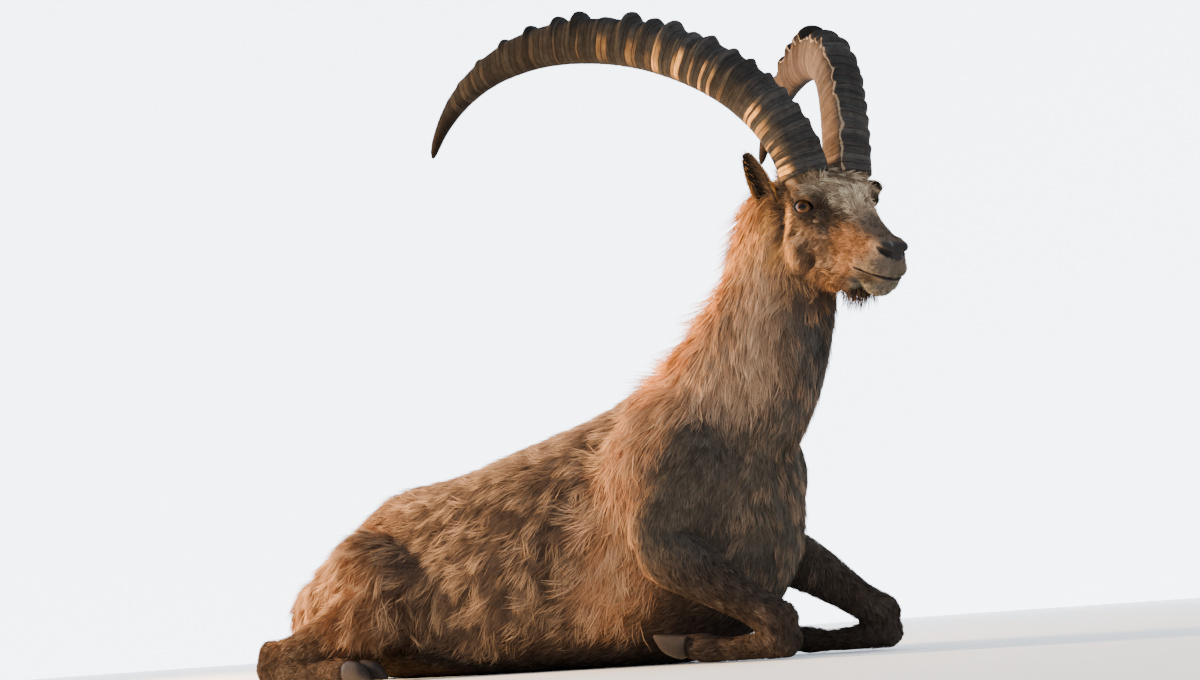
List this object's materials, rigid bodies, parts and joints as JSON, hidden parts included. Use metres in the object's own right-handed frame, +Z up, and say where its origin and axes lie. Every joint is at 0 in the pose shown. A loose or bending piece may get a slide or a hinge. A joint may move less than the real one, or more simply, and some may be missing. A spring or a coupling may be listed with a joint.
{
  "type": "alpine ibex",
  "caption": "Life-size adult male alpine ibex lying on its brisket, legs folded, head raised and turned, with long knobbed horns sweeping back.",
  "frame": {"origin": "on the floor, below the middle of the whole animal's bounding box", "axes": "+Z up, +X the way the trunk points, +Y to the animal's left"},
  "size_m": [1.345, 0.7176, 0.9715],
  "materials": {
    "coat_back": "shaggy brown moulting coat with straw-coloured tips",
    "coat_neck": "long orange-brown hair",
    "coat_head": "short grey-brown hair, tan on muzzle and cheeks",
    "coat_legs": "short dark brown hair",
    "horn": "ringed and knobbed keratin, satin",
    "eye": "wet amber-brown, polished",
    "hoof": "worn dark keratin"
  },
  "bodies": {
    "root": {"head": "coat_head", "neck": "coat_neck", "torso": "coat_back", "tail": "coat_back", "ear_left": "coat_head", "ear_right": "coat_head", "eye_left": "eye", "eye_right": "eye", "horn_left": "horn", "horn_right": "horn", "shoulder_left": "coat_back", "shoulder_right": "coat_back", "forearm_left": "coat_legs", "forearm_right": "coat_legs", "fore_cannon_left": "coat_legs", "fore_cannon_right": "coat_legs", "thigh_left": "coat_back", "thigh_right": "coat_back", "shank_left": "coat_legs", "shank_right": "coat_legs", "hind_cannon_left": "coat_legs", "hind_cannon_right": "coat_legs", "hoof_fore_left_inner": "hoof", "hoof_fore_left_outer": "hoof", "hoof_fore_right_inner": "hoof", "hoof_fore_right_outer": "hoof", "hoof_hind_left_inner": "hoof", "hoof_hind_left_outer": "hoof", "hoof_hind_right_inner": "hoof", "hoof_hind_right_outer": "hoof"}
  },
  "joints": []
}
